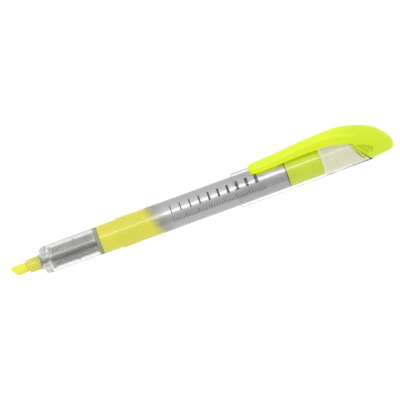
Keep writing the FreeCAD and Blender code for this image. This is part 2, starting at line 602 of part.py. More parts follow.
CLIP_TIP = f"{CLIP_ROOT} + Dims.clip_reach"
clip_sections = [
    arm_section(name, f"{CLIP_TIP} - Dims.{name}_back * Dims.clip_reach",
                f"{MOUTH_RADIUS} + Dims.{name}_low", f"{MOUTH_RADIUS} + Dims.{name}_high",
                f"Dims.{name}_half * Dims.clip_half")
    for name, *shares in CLIP_SECTIONS
]
clip_sections.append(
    arm_section("clip_at_root", CLIP_ROOT, f"{MOUTH_RADIUS} + Dims.clip_root_low", CLIP_ROOT_TOP,
                "Dims.clip_root_half * Dims.clip_half"))
lofted(clip, "arm", clip_sections)
hollow_outline = new_sketch(clip, "hollow_outline", "YZ_Plane", f"{CLIP_ROOT} - {OVERCUT}")
hollow_outline.addGeometry(Part.Circle(FreeCAD.Vector(), FreeCAD.Vector(0, 0, 1), 7), False)
bind(hollow_outline, "DistanceX", 0, 3, "0")
bind(hollow_outline, "DistanceY", 0, 3, "0")
hollow_radius = hollow_outline.addConstraint(Sketcher.Constraint("Radius", 0, 7))
hollow_outline.setExpression(f"Constraints[{hollow_radius}]", f"{MOUTH_RADIUS} + Dims.clip_gap")
hollow = clip.newObject("PartDesign::Pocket", "hollow_underside")
hollow.Profile = hollow_outline
hollow.Type = "ThroughAll"
hollow.Reversed = True

doc.recompute()

# Every feature has to have worked before anything is written.
faults = [item.Name for item in doc.Objects if "Invalid" in item.State or "Error" in item.State]
pieces = [item for item in doc.Objects if item.TypeId == "PartDesign::Body"]
for piece in pieces:
    if piece.Shape.isNull() or not piece.Shape.isValid() or len(piece.Shape.Solids) != 1:
        faults.append(piece.Label)
if faults:
    raise RuntimeError("not built: " + ", ".join(faults))

os.makedirs("parts", exist_ok=True)
for piece in pieces:
    piece.Shape.exportStep(f"parts/{piece.Label}.step")
    print(f"{piece.Label:16} {piece.Shape.Volume:9.2f} mm3")
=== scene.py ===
import json
import math

import bmesh
import bpy
from mathutils import Matrix, Vector


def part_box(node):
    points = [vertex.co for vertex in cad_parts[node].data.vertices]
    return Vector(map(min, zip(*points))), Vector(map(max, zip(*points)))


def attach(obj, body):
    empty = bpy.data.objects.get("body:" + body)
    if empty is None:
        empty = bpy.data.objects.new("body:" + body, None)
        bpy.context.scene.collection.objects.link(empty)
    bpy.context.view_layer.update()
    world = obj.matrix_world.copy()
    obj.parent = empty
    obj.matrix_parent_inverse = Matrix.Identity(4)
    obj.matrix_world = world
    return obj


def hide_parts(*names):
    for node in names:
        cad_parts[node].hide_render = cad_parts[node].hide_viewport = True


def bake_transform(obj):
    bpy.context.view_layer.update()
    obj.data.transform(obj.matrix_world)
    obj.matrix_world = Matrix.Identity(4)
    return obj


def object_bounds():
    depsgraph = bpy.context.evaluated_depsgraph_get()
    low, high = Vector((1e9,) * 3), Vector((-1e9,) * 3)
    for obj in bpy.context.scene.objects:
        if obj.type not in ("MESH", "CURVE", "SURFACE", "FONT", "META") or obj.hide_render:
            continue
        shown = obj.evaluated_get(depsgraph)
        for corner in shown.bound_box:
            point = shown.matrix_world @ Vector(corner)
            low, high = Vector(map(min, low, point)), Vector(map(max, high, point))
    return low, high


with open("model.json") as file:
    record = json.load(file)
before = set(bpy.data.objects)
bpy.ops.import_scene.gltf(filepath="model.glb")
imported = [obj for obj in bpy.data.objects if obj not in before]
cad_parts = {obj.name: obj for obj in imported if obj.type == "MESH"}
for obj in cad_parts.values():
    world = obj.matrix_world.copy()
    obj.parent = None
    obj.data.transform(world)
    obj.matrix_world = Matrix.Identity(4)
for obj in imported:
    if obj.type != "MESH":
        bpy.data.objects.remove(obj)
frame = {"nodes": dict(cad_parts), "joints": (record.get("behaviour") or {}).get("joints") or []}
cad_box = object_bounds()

MM = 0.001

# --- Camera ------------------------------------------------------------------------------------
# The pen lies on a table, on the rim of its cap and the side of its clip. A long lens looks down
# on it from the front, rolled so that the nib is at the lower left and the clip on the upper edge.

flex_joint = [joint for joint in frame["joints"] if joint["name"] == "clip_flex"][0]
clip_side = Vector((0, flex_joint["pos_m"][1], flex_joint["pos_m"][2])).normalized()


def across(degrees):
    """A unit direction square to the pen, rolled about +X from the clip's side."""
    turn = math.radians(degrees)
    y, z = clip_side.y, clip_side.z
    return Vector((0, y * math.cos(turn) - z * math.sin(turn), y * math.sin(turn) + z * math.cos(turn)))


CLIP_TO_PICTURE_UP = 35
PICTURE_TILT = math.radians(20)
VIEW_WIDTH = 150 * MM
CAMERA_DISTANCE = 700 * MM
AIM_BEHIND_NIB = 75.75 * MM
AIM_BESIDE_AXIS = 1.43 * MM
SENSOR = 36

nib_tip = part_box("chisel_nib")[1].x
to_camera = across(CLIP_TO_PICTURE_UP - 90)
beside_pen = across(CLIP_TO_PICTURE_UP)
along_pen = Vector((-1, 0, 0))
aim = Vector((nib_tip - AIM_BEHIND_NIB, 0, 0)) + beside_pen * AIM_BESIDE_AXIS
picture_up = along_pen * math.sin(PICTURE_TILT) + beside_pen * math.cos(PICTURE_TILT)
picture_right = picture_up.cross(to_camera)

camera_data = bpy.data.cameras.new("camera")
camera_data.sensor_width = SENSOR
camera_data.lens = SENSOR * CAMERA_DISTANCE / VIEW_WIDTH
camera_data.clip_start = 10 * MM
camera = bpy.data.objects.new("camera", camera_data)
bpy.context.scene.collection.objects.link(camera)
turn = Matrix((picture_right, picture_up, to_camera)).transposed()
camera.matrix_world = Matrix.Translation(aim + to_camera * CAMERA_DISTANCE) @ turn.to_4x4()
bpy.context.scene.camera = camera
bpy.context.scene.view_settings.view_transform = "Standard"

# --- Table and light ---------------------------------------------------------------------------
# A seamless white sheet, lit through from below like a light table so that it stays white, one
# long soft box low in front, and a sky that is dimmer overhead, which shades the silver.


class Wire:
    """A socket in a material's node tree. Sums written with it add Math nodes."""

    def __init__(self, tree, socket=None):
        self.tree = tree
        self.socket = socket

    def node(self, kind, settings=None, sockets=None, output=0):
        """Adds a node: its settings first, then the values or links of its sockets."""
        made = self.tree.nodes.new(kind)
        for name, setting in (settings or {}).items():
            if name == "stops":
                self.set_stops(made.color_ramp.elements, setting)
            else:
                setattr(made, name, setting)
        for name, source in (sockets or {}).items():
            if isinstance(source, Wire):
                self.tree.links.new(source.socket, made.inputs[name])
            else:
                made.inputs[name].default_value = source
        return Wire(self.tree, made.outputs[output])

    @staticmethod
    def set_stops(elements, stops):
        """Gives a colour ramp its (position, colour) stops."""
        while len(elements) < len(stops):
            elements.new(1)
        for element, (position, color) in zip(elements, stops):
            element.position = position
            element.color = (*color, 1)

    def math(self, operation, first, second=0.0):
        return self.node("ShaderNodeMath", {"operation": operation}, {0: first, 1: second})

    def __add__(self, other):
        return self.math("ADD", self, other)

    def __radd__(self, other):
        return self.math("ADD", other, self)

    def __sub__(self, other):
        return self.math("SUBTRACT", self, other)

    def __rsub__(self, other):
        return self.math("SUBTRACT", other, self)

    def __mul__(self, other):
        return self.math("MULTIPLY", self, other)

    def __rmul__(self, other):
        return self.math("MULTIPLY", other, self)

    def mix(self, low, high):
        """A colour between two, with this as the factor."""
        settings = {"data_type": "RGBA", "clamp_factor": True}
        return self.node("ShaderNodeMix", settings, {0: self, 6: low, 7: high}, output=2)

    def ramp(self, start, end):
        """This value brought to 0..1 between start and end, smoothly."""
        settings = {"interpolation_type": "SMOOTHSTEP"}
        return self.node("ShaderNodeMapRange", settings, {0: self, 1: start, 2: end, 3: 0.0, 4: 1.0})


def new_material(name, **sockets):
    """A material whose Principled shader has the given sockets. It returns it and its wire."""
    material = bpy.data.materials.new(name)
    material.use_nodes = True
    shader = material.node_tree.nodes["Principled BSDF"]
    for socket, constant in sockets.items():
        shader.inputs[socket.replace("_", " ")].default_value = constant
    return material, Wire(material.node_tree)


def feed(material, socket, wire):
    """Links a wire to one socket of the material's Principled shader."""
    shader = material.node_tree.nodes["Principled BSDF"]
    material.node_tree.links.new(wire.socket, shader.inputs[socket])


def absorb(material, wire, color, density):
    """Takes light away along its way through the plastic, so that thick edges look darker."""
    loss = wire.node("ShaderNodeVolumeAbsorption", {}, {"Color": color, "Density": density})
    output = material.node_tree.nodes["Material Output"]
    material.node_tree.links.new(loss.socket, output.inputs["Volume"])


def position(wire):
    """The object's own coordinates, in metres, as a vector wire."""
    return wire.node("ShaderNodeTexCoord", output="Object")


def noise(wire, vector, scale, detail=3.0):
    return wire.node("ShaderNodeTexNoise", {}, {"Vector": vector, "Scale": scale, "Detail": detail})


def dot(wire, vector, direction):
    """How far a vector reaches along a fixed direction."""
    settings = {"operation": "DOT_PRODUCT"}
    return wire.node("ShaderNodeVectorMath", settings, {0: vector, 1: direction}, output=1)


def bumped(material, wire, height, depth):
    """Raises the surface by a height wire, depth metres at most."""
    feed(material, "Normal", wire.node("ShaderNodeBump", {}, {"Height": height, "Distance": depth}))


def grey(level):
    return (level, level, level, 1.0)


TABLE_SIZE = 3.0
TABLE_GLOW = 0.85
TABLE_DARK, TABLE_PALE = grey(0.26), grey(0.29)
MOTTLE_SCALE = 40.0

table_white, wire = new_material("table_white", Emission_Color=grey(1.0), Emission_Strength=TABLE_GLOW)
feed(table_white, "Base Color", noise(wire, position(wire), MOTTLE_SCALE).mix(TABLE_DARK, TABLE_PALE))
half = TABLE_SIZE / 2
table_mesh = bpy.data.meshes.new("table")
table_corners = [(-half, -half), (half, -half), (half, half), (-half, half)]
table_mesh.from_pydata([(x, y, cad_box[0].z) for x, y in table_corners], [], [(0, 1, 2, 3)])
table_mesh.materials.append(table_white)
table = bpy.data.objects.new("table", table_mesh)
bpy.context.scene.collection.objects.link(table)


def soft_box(name, elevation, azimuth, distance, width, height, power):
    """A rectangular light aimed at the middle of the pen."""
    light_data = bpy.data.lights.new(name, "AREA")
    light_data.shape = "RECTANGLE"
    light_data.size = width
    light_data.size_y = height
    light_data.energy = power
    light = bpy.data.objects.new(name, light_data)
    up, round_about = math.radians(elevation), math.radians(azimuth)
    level = Vector((math.sin(round_about), -math.cos(round_about), 0))
    direction = level * math.cos(up) + Vector((0, 0, math.sin(up)))
    light.location = Vector((aim.x, 0, 0)) + direction * distance
    light.rotation_euler = direction.to_track_quat("Z", "Y").to_euler()
    bpy.context.scene.collection.objects.link(light)


soft_box("front_box", elevation=17, azimuth=0, distance=0.8, width=1.0, height=0.2, power=1.8)

SKY_BRIGHT, CEILING_DIM = grey(1.15), grey(0.80)
CEILING_TILT = math.radians(72)
CEILING_EDGE, CEILING_CORE = 0.78, 0.97

world = bpy.data.worlds.new("studio")
bpy.context.scene.world = world
world.use_nodes = True
sky = Wire(world.node_tree)
sky_direction = sky.node("ShaderNodeTexCoord", output="Generated")
ceiling_middle = (0, -math.cos(CEILING_TILT), math.sin(CEILING_TILT))
toward_ceiling = dot(sky, sky_direction, ceiling_middle).ramp(CEILING_EDGE, CEILING_CORE)
sky_color = toward_ceiling.mix(SKY_BRIGHT, CEILING_DIM)
world.node_tree.links.new(sky_color.socket, world.node_tree.nodes["Background"].inputs["Color"])

# --- Feed rod ----------------------------------------------------------------------------------
# A wick of bonded polyester fibre that draws ink from the barrel to the nib. It is pushed through
# the collector's bore, and only its end in the ink can be glimpsed.

ROUND_STEPS = 5
TURN_STEPS = 160
ON_AXIS = 1e-6


def eased(corners):
    """The outline through (x, radius, rounding) corners, in mm, each corner eased by its rounding."""
    points = []
    for index, (x, radius, size) in enumerate(corners):
        here = Vector((x, radius))
        if not size:
            points.append(here)
            continue
        before = Vector(corners[index - 1][:2]) - here
        after = Vector(corners[(index + 1) % len(corners)][:2]) - here
        for step in range(ROUND_STEPS + 1):
            t = step / ROUND_STEPS
            pull = before.normalized() * (1 - t) ** 2 + after.normalized() * t ** 2
            points.append(here + pull * size)
    return points


def mesh_object(name, points, faces, material, sharp=35):
    """A smooth-shaded object from points in mm and faces, with edges kept sharp past an angle."""
    mesh = bpy.data.meshes.new(name)
    mesh.from_pydata([tuple(Vector(point) * MM) for point in points], [], faces)
    work = bmesh.new()
    work.from_mesh(mesh)
    bmesh.ops.recalc_face_normals(work, faces=work.faces)
    work.to_mesh(mesh)
    work.free()
    mesh.shade_smooth()
    mesh.set_sharp_from_angle(angle=math.radians(sharp))
    mesh.materials.append(material)
    piece = bpy.data.objects.new(name, mesh)
    bpy.context.scene.collection.objects.link(piece)
    return piece


def turned(name, corners, material, shear=None):
    """A piece turned about the pen's axis. The outline closes on itself, or ends on the axis."""
    outline = eased(corners)
    points, rings, faces = [], [], []
    for x, radius in outline:
        count = 1 if radius < ON_AXIS else TURN_STEPS
        rings.append(range(len(points), len(points) + count))
        for step in range(count):
            spoke = across(360 * step / count) * radius
            slide = shear(x) * spoke.dot(clip_side) if shear else 0
            points.append((x + slide, spoke.y, spoke.z))
    open_outline = len(rings[0]) == 1
    for index in range(len(rings) - open_outline):
        one, two = rings[index], rings[(index + 1) % len(rings)]
        for step in range(TURN_STEPS):
            ahead = (step + 1) % TURN_STEPS
            here = [one[at % len(one)] for at in (step, ahead)]
            there = [two[at % len(two)] for at in (ahead, step)]
            face = list(dict.fromkeys(here + there))
            if len(face) > 2:
                faces.append(face)
    return mesh_object(name, points, faces, material)


def fitted(piece, body, slot, *nodes):
    """The piece rides on a body and stands for CAD nodes, which it hides. The slot is not used."""
    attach(piece, body)
    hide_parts(*nodes)
    return piece


def span(node):
    """Where a CAD node starts and ends along the pen, rear then front, in mm."""
    low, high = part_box(node)
    return low.x / MM, high.x / MM


def radius_of(node):
    """The largest radius of a round CAD node, in mm."""
    low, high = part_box(node)
    return (high.z - low.z) / 2 / MM


def stretched_noise(wire, place, along, across_pen):
    """Noise drawn out along the pen, with its own scale along the pen and across it."""
    stretch = wire.node("ShaderNodeMapping", {}, {0: place, 3: (along, across_pen, across_pen)})
    return noise(wire, stretch, 1.0)


def along_pen_at(wire, place):
    """The place along the pen, in metres."""
    return wire.node("ShaderNodeSeparateXYZ", {}, {0: place})


SLEEVE_FRONT = 31.3 * MM
SOAK_EDGE = 0.5 * MM
HOLDER_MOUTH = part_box("nib_holder")[1].x
OPEN_FROM, OPEN_TO = HOLDER_MOUTH - 0.6 * MM, HOLDER_MOUTH + 0.2 * MM
DRY_FIBRE = (0.78, 0.78, 0.66, 1)
WET_DARK, WET_PALE = (0.57, 0.545, 0.03, 1), (0.71, 0.70, 0.08, 1)
# Painted glow: the fibre gives off light of its own, strong inside the holder, where it lies in shade,
# and weaker at the open tip.
GLOW_IN_HOLDER, GLOW_IN_OPEN = (0.62, 0.58, 0.05, 1), (0.13, 0.125, 0.010, 1)
NO_GLOW = (0, 0, 0, 1)
FIBRE_RELIEF = 0.08 * MM

wet_fibre, wire = new_material("wet_fibre", Roughness=0.75, Emission_Strength=0.5)
place = position(wire)
fibres = stretched_noise(wire, place, 900.0, 9000.0)
pores = noise(wire, place, 5200.0)
pen_place = along_pen_at(wire, place)
soaked = pen_place.ramp(SLEEVE_FRONT, SLEEVE_FRONT + SOAK_EDGE)
in_the_open = pen_place.ramp(OPEN_FROM, OPEN_TO)
feed(wet_fibre, "Base Color", soaked.mix(DRY_FIBRE, fibres.mix(WET_DARK, WET_PALE)))
feed(wet_fibre, "Emission Color", in_the_open.mix(soaked.mix(NO_GLOW, GLOW_IN_HOLDER), GLOW_IN_OPEN))
bumped(wet_fibre, wire, fibres * 0.6 + pores * 0.4, FIBRE_RELIEF)

wick_rear, wick_front = span("feed_rod")
wick_radius = radius_of("feed_rod")
feed_rod = turned("feed_rod_wick", [
    (wick_rear, 0, 0),
    (wick_rear, wick_radius, 0.2),
    (wick_front, wick_radius, 0.05),
    (wick_front, 0, 0),
], wet_fibre)
fitted(feed_rod, "pen", "nib_fibre", "feed_rod")

# --- Chisel nib --------------------------------------------------------------------------------
# A rod of pressed polyester fibre, ground to a slanted chisel edge and soaked with ink. It is
# pushed into its holder, where the ink wets the gap and makes the holder look full.

NIB_TURN = 35
NIB_LONG_EDGE = 1.15
NIB_SLANT = 1.95
NIB_EDGE_HALF = 0.5
NIB_FLAT = 4.6
NIB_STATIONS = 60
NIB_POINTS = 64
NIB_RADIUS = 1.9
NIB_WET_OVERLAP = 0.06
NIB_OPEN_END = 0.9
NIB_THINNING, NIB_LEAN, NIB_HEEL_LEAN = 1.15, 1.5, 3
NIB_HEEL = 1.4

nib_rear, nib_front = span("chisel_nib")
holder_front = span("nib_holder")[1]
nib_tall, nib_flat_side = across(NIB_TURN), across(NIB_TURN + 90)


def nib_section(x):
    """One closed section of the nib: round behind, narrowed to a chisel edge in front."""
    run = max(0.0, (x - (nib_front - NIB_FLAT)) / NIB_FLAT)
    radius = NIB_RADIUS + (NIB_WET_OVERLAP if x < holder_front - NIB_OPEN_END else 0.0)
    half_thick = radius + (NIB_EDGE_HALF - radius) * run ** NIB_THINNING
    section = []
    for step in range(NIB_POINTS):
        angle = 2 * math.pi * step / NIB_POINTS
        tall = radius * math.sin(angle)
        flat = radius * math.cos(angle)
        flat = max(-half_thick, min(half_thick, flat))
        low_side = max(0.0, NIB_LONG_EDGE - tall) / (NIB_LONG_EDGE + NIB_RADIUS)
        slide = -NIB_SLANT * low_side * run ** NIB_LEAN
        if tall > NIB_LONG_EDGE:
            slide -= (tall - NIB_LONG_EDGE) * NIB_HEEL * run ** NIB_HEEL_LEAN
        section.append(Vector((x + slide, 0, 0)) + nib_tall * tall + nib_flat_side * flat)
    return section


def skinned(name, sections, material, sharp=35):
    """A closed skin over sections that all have as many points, with a fan at each end."""
    points = [point for section in sections for point in section]
    size = len(sections[0])
    faces = []
    for row in range(len(sections) - 1):
        for step in range(size):
            ahead = (step + 1) % size
            base = row * size
            faces.append((base + step, base + ahead, base + size + ahead, base + size + step))
    for row, section in ((0, sections[0]), (len(sections) - 1, sections[-1])):
        points.append(sum((Vector(point) for point in section), Vector()) / size)
        base, middle = row * size, len(points) - 1
        faces += [(base + step, base + (step + 1) % size, middle) for step in range(size)]
    return mesh_object(name, points, faces, material, sharp)


nib_shares = [step / NIB_STATIONS for step in range(NIB_STATIONS + 1)]
nib_sections = [nib_section(nib_rear + (nib_front - nib_rear) * share) for share in nib_shares]
chisel_nib = skinned("chisel_nib_fibre", nib_sections, wet_fibre)
nib_bevel = chisel_nib.modifiers.new("worn_edges", "BEVEL")
nib_bevel.width = 0.12 * MM
nib_bevel.segments = 3
nib_bevel.angle_limit = math.radians(32)
fitted(chisel_nib, "pen", "nib_fibre", "chisel_nib")

# --- Nib holder --------------------------------------------------------------------------------
# A clear tube, its front edge a little slanted, that grips the nib. Its collar sits against the
# face of the front section.

PLASTIC_INDEX = 1.49
FRONT_CLEAR = (0.95, 0.95, 0.945, 1)
FRONT_LOSS = (0.5, 0.505, 0.48, 1)
FRONT_DENSITY = 160.0
clear_front, wire = new_material("clear_front", Transmission_Weight=1.0, IOR=PLASTIC_INDEX,
                                 Base_Color=FRONT_CLEAR)
absorb(clear_front, wire, FRONT_LOSS, FRONT_DENSITY)
feed(clear_front, "Roughness", noise(wire, position(wire), 900.0) * 0.05 + 0.02)

HOLDER_SLANT = 0.14
HOLDER_BORE = 1.92
HOLDER_RADIUS = 2.7
COLLAR_RADIUS = radius_of("nib_holder")
COLLAR_LENGTH = 0.8
SKIN_GAP = 0.02
holder_rear = span("nib_holder")[0]
front_face = span("front_section")[1]
holder_mouth = holder_front - HOLDER_SLANT * HOLDER_RADIUS
nib_holder = turned("nib_holder_tube", [
    (holder_rear, HOLDER_BORE, 0),
    (holder_mouth, HOLDER_BORE, 0.1),
    (holder_mouth, HOLDER_RADIUS, 0.15),
    (front_face + COLLAR_LENGTH, HOLDER_RADIUS, 0.08),
    (front_face + COLLAR_LENGTH, COLLAR_RADIUS, 0.12),
    (front_face + SKIN_GAP, COLLAR_RADIUS, 0.05),
    (front_face + SKIN_GAP, HOLDER_RADIUS, 0),
    (holder_rear, HOLDER_RADIUS, 0.05),
], clear_front, shear=lambda x: HOLDER_SLANT if x > front_face + 2 else 0)
fitted(nib_holder, "pen", "clear_front_plastic", "nib_holder")

# --- Ink collector -----------------------------------------------------------------------------
# One grey moulding with some twenty fins a few tenths apart, which take up ink when the air in
# the barrel swells, a slot that feeds them, and rings that centre it in the clear housing.

SLOT_ROLL = -66
SLOT_HALF = 0.75 * MM
SLOT_EDGE = 0.35 * MM
SLOT_DEPTH = 1.0 * MM
COLLECTOR_DARK, COLLECTOR_PALE = (0.67, 0.665, 0.65, 1), (0.74, 0.735, 0.72, 1)
# The slot's darker grey is painted shade.
SLOT_PAINTED_SHADE = (0.46, 0.465, 0.46, 1)
MOULD_RELIEF = 0.02 * MM

collector_grey, wire = new_material("collector_grey", Roughness=0.45, IOR=1.5)
place = position(wire)
plastic_tone = noise(wire, place, 300.0).mix(COLLECTOR_DARK, COLLECTOR_PALE)
off_slot = wire.math("ABSOLUTE", dot(wire, place, across(SLOT_ROLL + 90)))
slot_side = dot(wire, place, across(SLOT_ROLL)).ramp(0.0, SLOT_DEPTH)
in_slot = off_slot.ramp(SLOT_HALF + SLOT_EDGE, SLOT_HALF) * slot_side
feed(collector_grey, "Base Color", in_slot.mix(plastic_tone, SLOT_PAINTED_SHADE))
bumped(collector_grey, wire, noise(wire, place, 2500.0), MOULD_RELIEF)
ink_collector = frame["nodes"]["ink_collector"]
ink_collector.data.materials.clear()
ink_collector.data.materials.append(collector_grey)

# --- Front section -----------------------------------------------------------------------------
# The clear styrene housing round the collector, with a rounded shoulder and a spigot that is
# pressed into the barrel.

FRONT_WALL = 2.4
FRONT_BORE = 4.3
SPIGOT_RADIUS = 4.85
FRONT_RADIUS = 5.2
FRONT_REAR_RADIUS = 5.3
SHOULDER_LENGTH = 2.3
section_rear = span("front_section")[0]
ring_rear, ring_front = span("joint_ring")
front_section = turned("front_section_shell", [
    (section_rear, FRONT_BORE, 0),
    (front_face - FRONT_WALL, FRONT_BORE, 0.4),
    (front_face - FRONT_WALL, HOLDER_RADIUS + SKIN_GAP, 0),
    (front_face, HOLDER_RADIUS + SKIN_GAP, 0.1),
    (front_face, FRONT_RADIUS, 1.7),
    (front_face - SHOULDER_LENGTH, FRONT_RADIUS, 0),
    (ring_front, FRONT_REAR_RADIUS, 0.08),
    (ring_front, SPIGOT_RADIUS, 0),
    (section_rear, SPIGOT_RADIUS, 0.1),
], clear_front)
fitted(front_section, "pen", "clear_front_plastic", "front_section")

# --- Joint ring --------------------------------------------------------------------------------
# A soft grey-green seal, squeezed between the front section and the barrel when they are pressed
# together.

SEAL_DARK, SEAL_PALE = (0.19, 0.21, 0.115, 1), (0.27, 0.30, 0.18, 1)
seal_grey, wire = new_material("seal_grey", Roughness=0.5)
feed(seal_grey, "Base Color", noise(wire, position(wire), 700.0).mix(SEAL_DARK, SEAL_PALE))
joint_ring = turned("joint_ring_seal", [
    (ring_rear + SKIN_GAP, SPIGOT_RADIUS + SKIN_GAP, 0),
    (ring_front - SKIN_GAP, SPIGOT_RADIUS + SKIN_GAP, 0),
    (ring_front - SKIN_GAP, radius_of("joint_ring"), 0.2),
    (ring_rear + SKIN_GAP, radius_of("joint_ring"), 0.2),
], seal_grey)
fitted(joint_ring, "pen", "seal_elastomer", "joint_ring")

# --- Ink ---------------------------------------------------------------------------------------
# Free fluorescent yellow ink. It wets the wall of the barrel, so the round wall magnifies it to
# the barrel's full width.

INK_DARK, INK_PALE = (0.57, 0.53, 0.02, 1), (0.64, 0.60, 0.05, 1)
# The ink's emission is a painted glow that stands in for its fluorescence.
INK_PAINTED_GLOW_DARK, INK_PAINTED_GLOW_PALE = (0.82, 0.78, 0.06, 1), (0.90, 0.86, 0.12, 1)
liquid_ink, wire = new_material("liquid_ink", Roughness=0.3, IOR=1.33, Emission_Strength=0.35)
swirl = noise(wire, position(wire), 160.0)
feed(liquid_ink, "Base Color", swirl.mix(INK_DARK, INK_PALE))
feed(liquid_ink, "Emission Color", swirl.mix(INK_PAINTED_GLOW_DARK, INK_PAINTED_GLOW_PALE))

INK_WETTING = 0.05
INK_GAP = 0.05
BARREL_BORE = 4.87
ink_rear = span("ink_charge")[0]
ink_charge = turned("ink_charge_liquid", [
    (ink_rear, 0, 0),
    (ink_rear, BARREL_BORE + INK_WETTING, 0.4),
    (ring_rear - INK_GAP, BARREL_BORE + INK_WETTING, 0),
    (ring_rear - INK_GAP, 0, 0),
], liquid_ink)
fitted(ink_charge, "pen", "ink", "ink_charge")

# --- Barrel ------------------------------------------------------------------------------------
# A clear tube, turned down in front where the cap closes on it. It is thickest at the step that
# stops the cap and tapers behind it.

BARREL_CLEAR = (0.98, 0.98, 0.96, 1)
BODY_LOSS = (0.5, 0.5, 0.46, 1)
BARREL_DENSITY = 90.0
clear_barrel, wire = new_material("clear_barrel", Transmission_Weight=1.0, IOR=PLASTIC_INDEX,
                                  Base_Color=BARREL_CLEAR)
absorb(clear_barrel, wire, BODY_LOSS, BARREL_DENSITY)
feed(clear_barrel, "Roughness", noise(wire, position(wire), 700.0) * 0.06 + 0.02)

SEAT_RADIUS = 5.5
STEP_RADIUS = 5.9
BARREL_RADIUS = 5.62
TAPER_LENGTH = 17.0
barrel_rear, barrel_front = span("barrel")
barrel = turned("barrel_tube", [
    (barrel_rear, BARREL_BORE, 0),
    (barrel_front, BARREL_BORE, 0),
    (barrel_front, SEAT_RADIUS, 0.15),
    (0, SEAT_RADIUS, 0.1),
    (0, STEP_RADIUS, 0.15),
    (-TAPER_LENGTH, BARREL_RADIUS, 2.0),
    (barrel_rear, BARREL_RADIUS, 0.05),
], clear_barrel)
fitted(barrel, "pen", "clear_barrel_plastic", "barrel")

# --- Barrel film -------------------------------------------------------------------------------
# A thin metallised film shrunk round the barrel. It fades out towards the front through a soft
# edge, so the ink shows, and carries a printed scale.

FILM_THICKNESS = 0.05
FADE_START = -10.4
FADE_END = -18.4
FADE_SKEW = 0.3
FADE_SKEW_ROLL = 35
FADE_WAVER = 3.0 * MM
SILVER_DARK, SILVER_PALE = (0.375, 0.373, 0.377, 1), (0.435, 0.433, 0.437, 1)
metallic_film, wire = new_material("metallic_film", Metallic=1.0)
place = position(wire)
streaks = stretched_noise(wire, place, 200.0, 4000.0)
feed(metallic_film, "Base Color", streaks.mix(SILVER_DARK, SILVER_PALE))
feed(metallic_film, "Roughness", streaks * 0.12 + 0.24)
skew = dot(wire, place, across(FADE_SKEW_ROLL)) * FADE_SKEW
fade_way = along_pen_at(wire, place) - skew + noise(wire, place, 240.0) * FADE_WAVER
feed(metallic_film, "Alpha", fade_way.ramp(FADE_START * MM, FADE_END * MM))

film_rear, film_front = span("barrel_film")
film_front_radius = BARREL_RADIUS + (STEP_RADIUS - BARREL_RADIUS) * (1 + film_front / TAPER_LENGTH)
FILM_GAP = 0.01
barrel_film = turned("barrel_film_wrap", [
    (film_rear, BARREL_RADIUS + FILM_GAP, 0),
    (-TAPER_LENGTH, BARREL_RADIUS + FILM_GAP, 2.0),
    (film_front, film_front_radius + FILM_GAP, 0),
    (film_front, film_front_radius + FILM_THICKNESS, 0),
    (-TAPER_LENGTH, BARREL_RADIUS + FILM_THICKNESS, 2.0),
    (film_rear, BARREL_RADIUS + FILM_THICKNESS, 0),
], metallic_film)
fitted(barrel_film, "pen", "metallic_film", "barrel_film")

# --- Printed gauge -----------------------------------------------------------------------------
# Dark grey screen print on the film: a row of bars from thin to thick that show stroke widths, and
# a millimetre scale beside it. It runs on under the mouth of the cap.

PRINT_DARK, PRINT_PALE = (0.040, 0.040, 0.042, 1), (0.060, 0.060, 0.062, 1)
print_ink, wire = new_material("print_ink", Roughness=0.45)
feed(print_ink, "Base Color", noise(wire, position(wire), 3000.0).mix(PRINT_DARK, PRINT_PALE))

PRINT_LIFT = 0.002
PRINT_FLOOR = BARREL_RADIUS + FILM_THICKNESS + PRINT_LIFT
PRINT_THICKNESS = 0.012
PRINT_START = -21.0
GAUGE_ROLL = -36
SCALE_ROLL = -76
ARC_STEPS = 8


def add_mark(front, width, low_roll, high_roll):
    """One printed mark: a thin curved plate on the film, back from its front and between two rolls."""
    base = len(print_points)
    for step in range(ARC_STEPS + 1):
        out = across(low_roll + (high_roll - low_roll) * step / ARC_STEPS)
        for radius in (PRINT_FLOOR, PRINT_FLOOR + PRINT_THICKNESS):
            print_points.extend(Vector((x, 0, 0)) + out * radius for x in (front - width, front))
    for step in range(ARC_STEPS):
        a, b = base + 4 * step, base + 4 * (step + 1)
        floor, skin = (a, a + 1, b + 1, b), (a + 2, b + 2, b + 3, a + 3)
        rear_side, front_side = (a, b, b + 2, a + 2), (a + 1, a + 3, b + 3, b + 1)
        print_faces.extend([floor, skin, rear_side, front_side])
    last = base + 4 * ARC_STEPS
    print_faces.extend([(base, base + 2, base + 3, base + 1), (last, last + 1, last + 3, last + 2)])


def arc_degrees(length):
    """The angle that a length along the film's girth covers."""
    return math.degrees(length / PRINT_FLOOR)


GAUGE_HEIGHT = 3.3
GAUGE_PITCH = 3.7
GAUGE_BARS = 10
THIN_BAR, THICK_BAR = 0.35, 1.25
SCALE_TICKS = 36
TICK_WIDTH = 0.22
TICK_HEIGHT, FIFTH_TICK_HEIGHT = 1.1, 1.9
SCALE_FOOT = SCALE_ROLL - arc_degrees(1.0)

print_points, print_faces = [], []
half_gauge = arc_degrees(GAUGE_HEIGHT) / 2
for bar in range(GAUGE_BARS):
    bar_width = THIN_BAR + (THICK_BAR - THIN_BAR) * bar / (GAUGE_BARS - 1)
    add_mark(PRINT_START - bar * GAUGE_PITCH, bar_width, GAUGE_ROLL - half_gauge, GAUGE_ROLL + half_gauge)
for tick in range(SCALE_TICKS + 1):
    tick_height = TICK_HEIGHT if tick % 5 else FIFTH_TICK_HEIGHT
    add_mark(PRINT_START - tick, TICK_WIDTH, SCALE_FOOT, SCALE_FOOT + arc_degrees(tick_height))
gauge_print = mesh_object("gauge_print", print_points, print_faces, print_ink)
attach(gauge_print, "pen")

# --- Rear plug ---------------------------------------------------------------------------------
# A hollow lime moulding pressed into the barrel's rear end, with a fine groove at the joint and a
# rounded rear edge.

